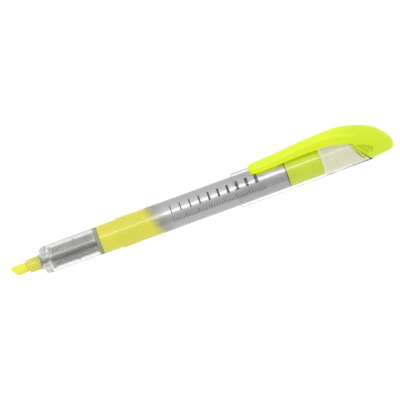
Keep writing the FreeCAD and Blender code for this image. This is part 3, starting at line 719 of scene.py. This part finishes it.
GROOVE = 0.3
GROOVE_EDGE = 0.12
PLUG_LIME, PLUG_LIME_DEEP = (0.53, 0.63, 0.008, 1), (0.48, 0.575, 0.005, 1)
GROOVE_SHADE = (0.03, 0.035, 0.015, 1)
lime_plug, wire = new_material("lime_plug", Roughness=0.28, Specular_IOR_Level=0.35,
                               Emission_Strength=0.33)
place = position(wire)
groove_rear = barrel_rear - GROOVE
in_groove = along_pen_at(wire, place).ramp((groove_rear - GROOVE_EDGE) * MM, groove_rear * MM)
plug_color = in_groove.mix(noise(wire, place, 120.0).mix(PLUG_LIME_DEEP, PLUG_LIME), GROOVE_SHADE)
feed(lime_plug, "Base Color", plug_color)
# The plug's colour is also given off as a painted glow.
feed(lime_plug, "Emission Color", plug_color)

PLUG_WALL = 1.0
PIN_HOLE = 0.01
PLUG_RADIUS = BARREL_RADIUS + FILM_THICKNESS
PLUG_SPIGOT = BARREL_BORE - SKIN_GAP
PLUG_DIMPLE = 0.4
plug_rear, plug_front = span("rear_plug")
rear_plug = turned("rear_plug_cup", [
    (plug_front, PLUG_SPIGOT - PLUG_WALL, 0.1),
    (plug_front, PLUG_SPIGOT, 0.2),
    (barrel_rear, PLUG_SPIGOT, 0),
    (barrel_rear, PLUG_RADIUS - GROOVE, 0),
    (groove_rear, PLUG_RADIUS - GROOVE, 0),
    (groove_rear, PLUG_RADIUS, 0.08),
    (plug_rear, PLUG_RADIUS, 0.7),
    (plug_rear, PLUG_RADIUS * 0.45, 0.2),
    (plug_rear + PLUG_DIMPLE, PLUG_RADIUS * 0.4, 0.2),
    (plug_rear + PLUG_DIMPLE, PIN_HOLE, 0),
    (plug_rear + PLUG_WALL, PIN_HOLE, 0),
    (plug_rear + PLUG_WALL, PLUG_SPIGOT - PLUG_WALL, 0.3),
], lime_plug)
fitted(rear_plug, "pen", "lime_plastic", "rear_plug")

# --- Cap tube ----------------------------------------------------------------------------------
# A clear tapered tube, a little smoky, open at its mouth and cut slanting where the crown closes
# it. A step in its bore holds the inner cap.

seal_rear, seal_front = span("inner_cap")
CAP_INDEX = 1.36
CAP_DENSITY = 35.0
SMOKE_START = (plug_rear + 0.6) * MM
SMOKE_EDGE = 0.8 * MM
THICK_SMOKE_START, THICK_SMOKE_END = (seal_rear + 1.0) * MM, (seal_rear - 0.5) * MM
CAP_CLEAR = (0.98, 0.98, 0.98, 1)
SMOKE, THICK_SMOKE = (0.835, 0.83, 0.735, 1), (0.78, 0.772, 0.69, 1)
clear_cap, wire = new_material("clear_cap", Transmission_Weight=1.0, IOR=CAP_INDEX)
absorb(clear_cap, wire, BODY_LOSS, CAP_DENSITY)
place = position(wire)
cap_place = along_pen_at(wire, place)
smoky = cap_place.ramp(SMOKE_START, SMOKE_START - SMOKE_EDGE)
smoke_color = cap_place.ramp(THICK_SMOKE_START, THICK_SMOKE_END).mix(SMOKE, THICK_SMOKE)
feed(clear_cap, "Base Color", smoky.mix(CAP_CLEAR, smoke_color))
feed(clear_cap, "Roughness", noise(wire, place, 600.0) * 0.03 + smoky * 0.1 + 0.005)

CAP_BORE = 5.79
SEAL_RADIUS = 5.54
MOUTH_RADIUS = radius_of("cap_tube")
TAIL_RADIUS = 6.3
END_SLOPE = 0.577
SEAL_LIP_LENGTH = 0.5
SEAL_STEP_RUN = 3.0
cap_rear, cap_mouth = span("cap_tube")
cap_end = cap_rear + END_SLOPE * TAIL_RADIUS
cap_tube = turned("cap_tube_shell", [
    (cap_mouth, CAP_BORE, 0.25),
    (cap_mouth, MOUTH_RADIUS, 0.25),
    (cap_end, TAIL_RADIUS, 0.1),
    (cap_end, SEAL_RADIUS, 0.05),
    (seal_front - SEAL_STEP_RUN, SEAL_RADIUS, 0.5),
    (seal_front - SEAL_LIP_LENGTH, CAP_BORE, 0.05),
], clear_cap, shear=lambda x: END_SLOPE if x < cap_end + 1 else 0)
fitted(cap_tube, "cap", "clear_cap_plastic", "cap_tube")

# --- Inner cap ---------------------------------------------------------------------------------
# A thin thimble of natural polypropylene inside the clear tube. Its lip closes on the nib holder
# when the pen is capped, so that the nib stays wet.

MILK_DARK, MILK_PALE = (0.80, 0.79, 0.66, 1), (0.86, 0.85, 0.74, 1)
# MILK_GLOW is a painted glow, so that the thimble looks lit through.
MILK_GLOW = (0.92, 0.90, 0.66, 1)
LIP_FADE_START, LIP_FADE_END = (seal_front - 0.7) * MM, (seal_front - 1.2) * MM
natural_plastic, wire = new_material("natural_plastic", Roughness=0.4, IOR=1.45,
                                     Emission_Color=MILK_GLOW, Emission_Strength=0.2)
place = position(wire)
milk = noise(wire, place, 260.0)
behind_lip = along_pen_at(wire, place).ramp(LIP_FADE_START, LIP_FADE_END)
feed(natural_plastic, "Base Color", milk.mix(MILK_DARK, MILK_PALE))
feed(natural_plastic, "Alpha", (milk * 0.04 + 0.08) * (behind_lip * 0.8 + 0.2))

SEAL_LIP = 2.78
SEAL_WALL = 0.6
SEAL_FIT = 0.03
SEAL_SKIN = SEAL_RADIUS - SEAL_FIT
lip_rear = seal_front - SEAL_LIP_LENGTH
inner_cap = turned("inner_cap_thimble", [
    (seal_front, SEAL_LIP, 0.1),
    (seal_front, CAP_BORE - SEAL_FIT, 0.05),
    (lip_rear + SKIN_GAP, CAP_BORE - SEAL_FIT, 0),
    (lip_rear + SKIN_GAP, SEAL_SKIN, 0),
    (seal_rear, SEAL_SKIN, 0.4),
    (seal_rear, PIN_HOLE, 0),
    (seal_rear + SEAL_WALL, PIN_HOLE, 0),
    (seal_rear + SEAL_WALL, SEAL_SKIN - SEAL_WALL, 0.4),
    (lip_rear, SEAL_SKIN - SEAL_WALL, 0.1),
    (lip_rear, SEAL_LIP, 0.1),
], natural_plastic)
fitted(inner_cap, "cap", "seal_plastic", "inner_cap")

# --- Crown and clip ----------------------------------------------------------------------------
# One lime moulding. The crown plugs the slanted end of the tube and rounds off behind like a fin,
# with a recess in each side. The clip springs from it over the cap to a rounded tip.

# Painted shade: the lime is darker towards the crown's end and in the side recesses.
CROWN_SHADE_START, CROWN_SHADE_END = -84 * MM, -97 * MM
ARM_LIME, ARM_LIME_PALE = (0.375, 0.45, 0.004, 1), (0.42, 0.495, 0.010, 1)
CROWN_SHADED_LIME, CROWN_SHADED_LIME_PALE = (0.305, 0.395, 0.002, 1), (0.34, 0.43, 0.004, 1)
RECESS_SHADED_LIME, SEAM_SHADE = (0.31, 0.39, 0.004, 1), (0.10, 0.12, 0.015, 1)
# Painted glow: the lime gives off light of its own, less in the recesses, more on the spigot, and most
# under the arm, which puts a lime reflection on the film below.
SKIN_GLOW, RECESS_SHADED_GLOW = (0.19, 0.235, 0.002, 1), (0.15, 0.19, 0.001, 1)
SPIGOT_GLOW, UNDERSIDE_GLOW = (0.40, 0.46, 0.05, 1), (1.05, 1.24, 0.010, 1)
SPIGOT_AHEAD = 1.9
RIM_INSET = 0.25
SEAM_WIDTH = 0.22 * MM
SEAM_CORE = SEAM_WIDTH * 0.3
SIDE_TOP, SIDE_TOP_FADE = 0.5 * MM, 3.0 * MM
SIDE_FOOT, SIDE_FOOT_FADE = -1.5 * MM, -4.0 * MM
SPIGOT_EDGE, SPIGOT_FULL = (cap_end + 0.25) * MM, (cap_end + 0.45) * MM
SPIGOT_TOP, SPIGOT_TOP_FADE = 5.8 * MM, 6.3 * MM

lime_plastic, wire = new_material("lime_plastic", Roughness=0.3, Specular_IOR_Level=0.36,
                                  Emission_Strength=1.2)
place = position(wire)
pen_place = along_pen_at(wire, place)
height = dot(wire, place, clip_side)
slant = pen_place - height * END_SLOPE
crown_shade = pen_place.ramp(CROWN_SHADE_START, CROWN_SHADE_END)
in_recess = wire.node("ShaderNodeAttribute", {"attribute_name": "recess"}, output=2)
under_arm = wire.node("ShaderNodeAttribute", {"attribute_name": "underside"}, output=2)


def seam_line(at):
    """A fine painted shade line round the spigot, at a place measured along the slanted joint's own way.
    """
    return wire.math("ABSOLUTE", slant - at * MM).ramp(SEAM_WIDTH, SEAM_CORE)


both_lines = wire.math("MAXIMUM", seam_line(cap_end), seam_line(cap_end + SPIGOT_AHEAD - RIM_INSET))
on_the_side = height.ramp(SIDE_TOP_FADE, SIDE_TOP) * height.ramp(SIDE_FOOT_FADE, SIDE_FOOT)
seam_lines = both_lines * on_the_side
on_spigot = slant.ramp(SPIGOT_EDGE, SPIGOT_FULL) * height.ramp(SPIGOT_TOP_FADE, SPIGOT_TOP)
lime_tone = noise(wire, place, 60.0)
arm_tone = lime_tone.mix(ARM_LIME, ARM_LIME_PALE)
crown_shaded_tone = lime_tone.mix(CROWN_SHADED_LIME, CROWN_SHADED_LIME_PALE)
skin_tone_and_shade = in_recess.mix(crown_shade.mix(arm_tone, crown_shaded_tone), RECESS_SHADED_LIME)
feed(lime_plastic, "Base Color", seam_lines.mix(skin_tone_and_shade, SEAM_SHADE))
spigot_and_skin = on_spigot.mix(in_recess.mix(SKIN_GLOW, RECESS_SHADED_GLOW), SPIGOT_GLOW)
glow = under_arm.mix(seam_lines.mix(spigot_and_skin, NO_GLOW), UNDERSIDE_GLOW)
feed(lime_plastic, "Emission Color", glow)

SPIGOT_BEHIND = 0.6
crown_spigot = turned("crown_spigot", [
    (cap_end - SPIGOT_BEHIND, 0, 0),
    (cap_end - SPIGOT_BEHIND, SEAL_SKIN, 0),
    (cap_end + SPIGOT_AHEAD, SEAL_SKIN, 0.1),
    (cap_end + SPIGOT_AHEAD, 0, 0),
], lime_plastic, shear=lambda x: END_SLOPE)
fitted(crown_spigot, "cap", "lime_plastic")

clip_tip = span("clip_arm")[1]
crown_end = span("cap_crown")[0]
crown_length = clip_tip - crown_end


def curve(at, stops):
    """A smooth value at a distance, through (distance, value) stops."""
    if at <= stops[0][0]:
        return stops[0][1]
    for index in range(len(stops) - 1):
        (a, low), (b, high) = stops[index], stops[index + 1]
        if at <= b:
            break
    else:
        return stops[-1][1]
    before = stops[max(index - 1, 0)]
    after = stops[min(index + 2, len(stops) - 1)]
    start = (high - before[1]) / (b - before[0])
    end = (after[1] - low) / (after[0] - a)
    t = (at - a) / (b - a)
    hermite = (2 * t ** 3 - 3 * t ** 2 + 1) * low + (3 * t ** 2 - 2 * t ** 3) * high
    return hermite + (b - a) * ((t ** 3 - 2 * t ** 2 + t) * start + (t ** 3 - t ** 2) * end)


# Heights from the pen's axis and half-widths, by the distance behind the clip's tip, in mm.
TOP = [(0, 7.75), (0.4, 8.15), (1.4, 8.5), (6, 8.7), (12.2, 9.2), (20.2, 10.25), (27, 10.74),
       (32, 10.88), (37, 10.6), (41, 9.7), (44.1, 8.6), (46.1, 7.7), (49.9, 5.4), (52.9, 2.1),
       (53.6, 1.15), (54.4, -0.2), (54.9, -1.6), (crown_length, -2.7)]
ARM_EDGE = [(0, 7.2), (1, 6.5), (3, 6.3), (12.2, 6.6), (20.2, 6.9), (27, 7.05), (33, 6.75),
            (36, 6.35), (38.5, 5.85), (41, 5.3), (45, 4.2)]
ARM_HALF = [(0, 0.4), (0.25, 1.35), (0.8, 2.15), (1.8, 2.75), (3.2, 3.0), (20, 3.0), (27, 3.15),
            (31, 3.4), (35, 4.05), (38.5, 5.0), (42, 5.6)]
ARM_BOW = [(0, 0.0), (1.5, 0.35), (4, 0.7), (28, 0.5), (37, 0.5), (42, 0.0)]
WIDEST = [(38, 0.6), (44.1, 0.3), (46.1, 0.0), (49.9, -1.2), (52.9, -2.2), (crown_length, -3.2)]
CROWN_HALF = [(36, 6.25), (41, 6.2), (44.1, 6.0), (46.1, 5.75), (49.9, 4.7), (52.9, 3.35),
              (53.9, 2.6), (54.6, 1.7), (54.95, 1.0), (crown_length, 0.25)]
BOTTOM = [(43, -6.2), (46, -6.1), (50, -5.75), (53, -5.6), (54.4, -5.1), (54.9, -4.5),
          (crown_length, -3.6)]
RIDGE_UP = 0.42
RIDGE_IN = 0.86
FLANK_SHARE = 0.4
TOP_ROUND, SIDE_ROUND = 0.85, 0.75
SIDE_POINTS = 88
UNDER_POINTS = 30
STATION_STEP = 0.22
FINE_STEP = 0.1
END_STEP = 0.06
FINE_FROM, FINE_TO = 36, 52
MELT_START, MELT_END = 31, 41
SOFTENING = 8


def arm_point(t, behind):
    """A point of the arm's section, from its lower edge (0) over the ridge to the top (1)."""
    edge, top, half_width = curve(behind, ARM_EDGE), curve(behind, TOP), curve(behind, ARM_HALF)
    ridge = edge + RIDGE_UP * (top - edge)
    if t < FLANK_SHARE:
        share = t / FLANK_SHARE
        return edge + (ridge - edge) * share, half_width * (1 + (RIDGE_IN - 1) * share)
    angle = (t - FLANK_SHARE) / (1 - FLANK_SHARE) * math.pi / 2
    height = ridge + (top - ridge) * math.sin(angle) ** TOP_ROUND
    return height, half_width * RIDGE_IN * math.cos(angle) ** SIDE_ROUND


def crown_point(t, behind, floor):
    """A point of the crown's section, from its floor up its bulging side to the top."""
    top, widest, half_width = curve(behind, TOP), curve(behind, WIDEST), curve(behind, CROWN_HALF)
    bottom = curve(behind, BOTTOM)
    low = -math.pi / 2
    if floor > bottom:
        share = (floor - widest) / ((top - widest) if floor > widest else (widest - bottom))
        low = math.asin(max(-1.0, min(1.0, share)))
    angle = low + (math.pi / 2 - low) * t
    reach = (top - widest) if angle > 0 else (widest - bottom)
    return widest + reach * math.sin(angle), half_width * math.cos(angle)


def blend_share(value, start, end):
    t = max(0.0, min(1.0, (value - start) / (end - start)))
    return t * t * (3 - 2 * t)


def softened(points):
    """A closed run of points with its corners eased."""
    for _ in range(SOFTENING):
        neighbours = zip(points[-1:] + points, points, points[1:] + points[:1])
        points = [(before + here * 2 + after) / 4 for before, here, after in neighbours]
    return points


def clip_section(behind):
    """One closed section of the clip and crown, as (height, width) pairs."""
    x = clip_tip - behind
    floor = min((x - cap_end) / END_SLOPE, curve(behind, ARM_EDGE))
    share = blend_share(behind, MELT_START, MELT_END)
    side = []
    for step in range(SIDE_POINTS + 1):
        t = step / SIDE_POINTS
        arm = Vector(arm_point(t, behind))
        side.append(arm.lerp(Vector(crown_point(t, behind, floor)), share) if share else arm)
    edge_height, edge_half = side[0]
    bow = curve(behind, ARM_BOW)
    under = []
    for step in range(1, UNDER_POINTS):
        width = -edge_half + 2 * edge_half * step / UNDER_POINTS
        under.append(Vector((edge_height + bow * (1 - (width / edge_half) ** 2), width)))
    other = [Vector((height, -width)) for height, width in reversed(side[:-1])]
    return [recessed(x, point) for point in softened(side + other + under)]


# The recess in each side of the crown, as (x, height) corners round its floor, in mm.
RECESS_RIM = 0.5
RECESS_TOP, RECESS_FOOT = 5.0, -1.0
RECESS_CEILING = 6
RECESS = [
    (cap_end + END_SLOPE * RECESS_TOP - RECESS_RIM, RECESS_TOP),
    (cap_end - 1.3, 3.7),
    (cap_end - 4.3, 1.2),
    (cap_end - 3.0, -0.6),
    (cap_end + END_SLOPE * RECESS_FOOT - RECESS_RIM, RECESS_FOOT),
]
RECESS_FLOOR = TAIL_RADIUS - 1.6
RECESS_DRAFT = 0.6
FLOOR_SLACK = 0.1


def inside_recess(x, height):
    """How far a point is inside the recess's outline, in mm, and negative outside."""
    depth = math.inf
    for index, corner in enumerate(RECESS):
        start, end = Vector(corner), Vector(RECESS[(index + 1) % len(RECESS)])
        along = (end - start).normalized()
        offset = Vector((x, height)) - start
        depth = min(depth, along.x * offset.y - along.y * offset.x)
    return depth


def recessed(x, point):
    """A point of the crown's skin, pushed in to the recess's floor where it lies in the recess."""
    height, width = point
    depth = inside_recess(x, height)
    if depth <= 0 or abs(width) <= RECESS_FLOOR or height > RECESS_CEILING:
        return point
    share = blend_share(depth, 0.0, RECESS_DRAFT)
    return Vector((height, math.copysign(abs(width) + (RECESS_FLOOR - abs(width)) * share, width)))


stations = []
behind = 0.0
while behind < crown_length:
    stations.append(behind)
    if min(behind, crown_length - behind) < 1.0:
        behind += END_STEP
    else:
        behind += FINE_STEP if FINE_FROM < behind < FINE_TO else STATION_STEP
stations.append(crown_length)
side_way = across(90)
# The painted glow under the arm is full near the tip, a fifth along the middle and none at the root.
TIP_GLOW_FADE, ROOT_GLOW_FADE = (9, 15), (36, 38)
TIP_GLOW, ROOT_GLOW = 0.8, 0.2


def placed(at):
    """The section at a distance behind the clip's tip, as points in the pen's frame, in mm."""
    middle = Vector((clip_tip - at, 0, 0))
    return [middle + clip_side * height + side_way * width for height, width in clip_section(at)]


sections = [placed(at) for at in stations]
clip_and_crown = skinned("clip_and_crown", sections, lime_plastic, sharp=50)
section_size = len(sections[0])
# Marks for the painted shade in the recesses and the painted glow under the arm.
recess_marks = clip_and_crown.data.attributes.new("recess", "FLOAT", "POINT").data
underside_marks = clip_and_crown.data.attributes.new("underside", "FLOAT", "POINT").data
for index, vertex in enumerate(clip_and_crown.data.vertices[:section_size * len(stations)]):
    at = stations[index // section_size]
    out = Vector((0, vertex.co.y, vertex.co.z)) / MM
    height, width = out.dot(clip_side), out.dot(side_way)
    depth = inside_recess(clip_tip - at, height) if abs(width) > RECESS_FLOOR - FLOOR_SLACK else 0
    recess_marks[index].value = blend_share(depth, 0.0, RECESS_DRAFT)
    if index % section_size > 2 * SIDE_POINTS:
        faded_tip = TIP_GLOW * blend_share(at, *TIP_GLOW_FADE)
        faded_root = ROOT_GLOW * blend_share(at, *ROOT_GLOW_FADE)
        underside_marks[index].value = 1 - faded_tip - faded_root
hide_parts("cap_crown", "clip_arm")
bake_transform(clip_and_crown)
